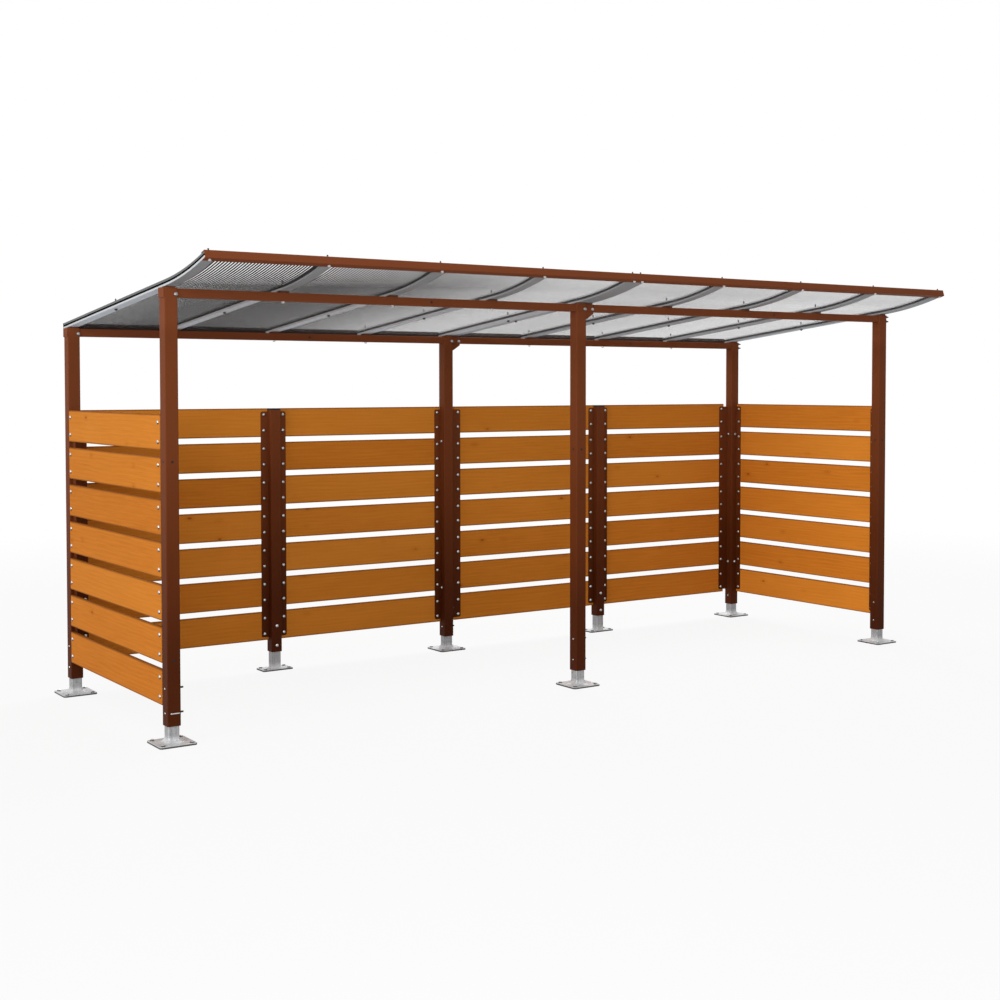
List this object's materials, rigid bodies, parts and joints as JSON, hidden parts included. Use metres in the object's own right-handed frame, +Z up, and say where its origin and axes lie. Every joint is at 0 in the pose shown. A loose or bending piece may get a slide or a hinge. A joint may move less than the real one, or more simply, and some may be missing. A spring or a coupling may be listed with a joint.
{
  "type": "bike shelter",
  "caption": "Open-fronted bike shelter: steel posts on anchor feet, slatted board sides and back, and a translucent roof that curves up at the front.",
  "frame": {"origin": "on the ground, under the middle of the whole shelter", "axes": "+X along the length to the right, +Y to the back, +Z up"},
  "size_m": [5.3594, 2.1316, 2.4426],
  "materials": {
    "brown_powder_coat": "satin powder coat",
    "galvanised_steel": "hot-dip galvanised",
    "stained_boards": "stained and planed softwood",
    "multiwall_sheet": "multiwall polycarbonate",
    "aluminium_profile": "mill",
    "cover_profile": "mill",
    "dark_plastic": "moulded",
    "packer_rubber": "moulded"
  },
  "bodies": {
    "root": {"back_closers": "dark_plastic", "beam_back_left": "brown_powder_coat", "beam_back_right": "brown_powder_coat", "beam_front_left": "brown_powder_coat", "beam_front_right": "brown_powder_coat", "board_post_caps": "dark_plastic", "board_post_foot_left": "galvanised_steel", "board_post_foot_right": "galvanised_steel", "board_post_left": "brown_powder_coat", "board_post_right": "brown_powder_coat", "brackets_back": "brown_powder_coat", "brackets_left": "brown_powder_coat", "brackets_right": "brown_powder_coat", "cover_strips": "cover_profile", "fascia_beam": "brown_powder_coat", "fascia_bolts": "galvanised_steel", "foot_back_left": "galvanised_steel", "foot_back_middle": "galvanised_steel", "foot_back_right": "galvanised_steel", "foot_front_left": "galvanised_steel", "foot_front_middle": "galvanised_steel", "foot_front_right": "galvanised_steel", "frame_brackets": "brown_powder_coat", "panel_back_left_bay_left": "stained_boards", "panel_back_left_bay_right": "stained_boards", "panel_back_right_bay_left": "stained_boards", "panel_back_right_bay_right": "stained_boards", "panel_left": "stained_boards", "panel_right": "stained_boards", "post_back_left": "brown_powder_coat", "post_back_middle": "brown_powder_coat", "post_back_right": "brown_powder_coat", "post_front_left": "brown_powder_coat", "post_front_middle": "brown_powder_coat", "post_front_right": "brown_powder_coat", "rafter_packers": "packer_rubber", "rafters_left": "aluminium_profile", "rafters_right": "aluminium_profile", "roof_sheet_1": "multiwall_sheet", "roof_sheet_2": "multiwall_sheet", "roof_sheet_3": "multiwall_sheet", "roof_sheet_4": "multiwall_sheet", "roof_sheet_5": "multiwall_sheet", "roof_sheet_6": "multiwall_sheet", "roof_sheet_7": "multiwall_sheet", "roof_sheet_8": "multiwall_sheet"}
  },
  "joints": []
}
